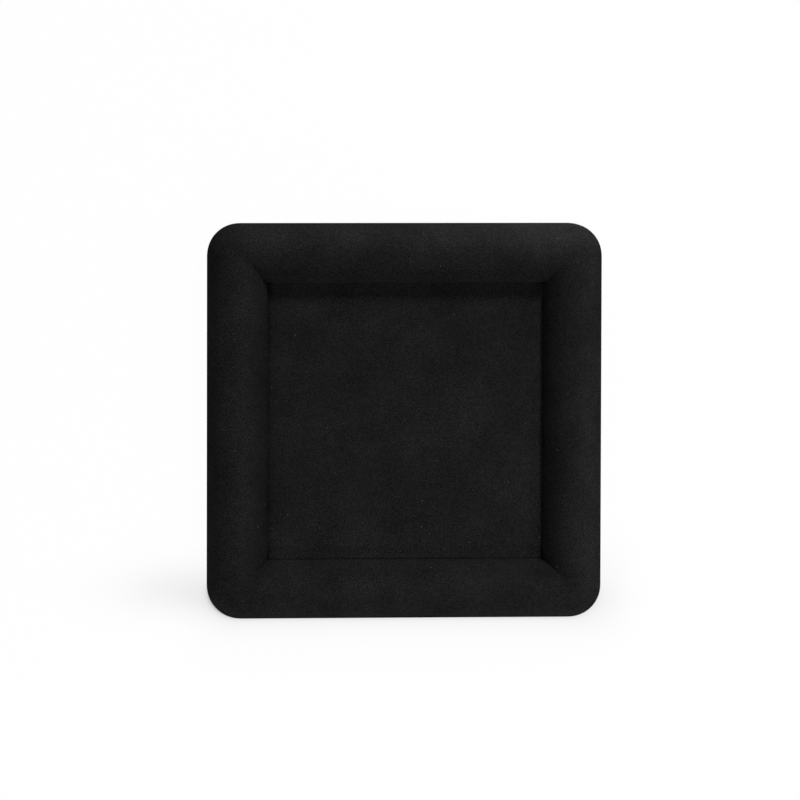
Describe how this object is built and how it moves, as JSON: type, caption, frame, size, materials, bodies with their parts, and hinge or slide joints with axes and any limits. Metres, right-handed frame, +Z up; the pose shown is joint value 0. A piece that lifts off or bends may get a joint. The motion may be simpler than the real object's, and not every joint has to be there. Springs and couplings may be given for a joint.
{
  "type": "jewelry tray",
  "caption": "Square presentation tray with a flat padded well inside a wide rounded padded rim, wrapped in black microfibre suede, for laying out or storing jewelry.",
  "frame": {"origin": "centre of the underside, where the tray rests on a table", "axes": "+Z up out of the well; X and Y along the sides, with +X to the right and +Y to the top of the tray as it is seen face on"},
  "size_m": [0.2, 0.2, 0.025],
  "materials": {
    "black_microfibre": "black microfibre suede with a fine short nap, matt with a faint sheen at grazing angles",
    "rim_foam": "dark grey closed-cell foam",
    "fibreboard": "raw medium-density fibreboard with a fine flecked face",
    "greyboard": "uncoated grey bookbinding board",
    "lining_card": "black flocked card, short even nap",
    "tape_foam": "white double-sided foam tape",
    "brad_steel": "bright drawn steel wire"
  },
  "bodies": {
    "root": {"bottom_lining": "lining_card", "base_panel": "fibreboard", "rail_front": "fibreboard", "rail_right": "fibreboard", "rail_back": "fibreboard", "rail_left": "fibreboard", "rail_brads": "brad_steel", "rim_foam_front": "rim_foam", "rim_foam_right": "rim_foam", "rim_foam_back": "rim_foam", "rim_foam_left": "rim_foam", "rim_cover": "black_microfibre", "insert_tape": "tape_foam", "insert_board": "greyboard", "insert_foam": "rim_foam", "insert_cover": "black_microfibre"}
  },
  "joints": []
}
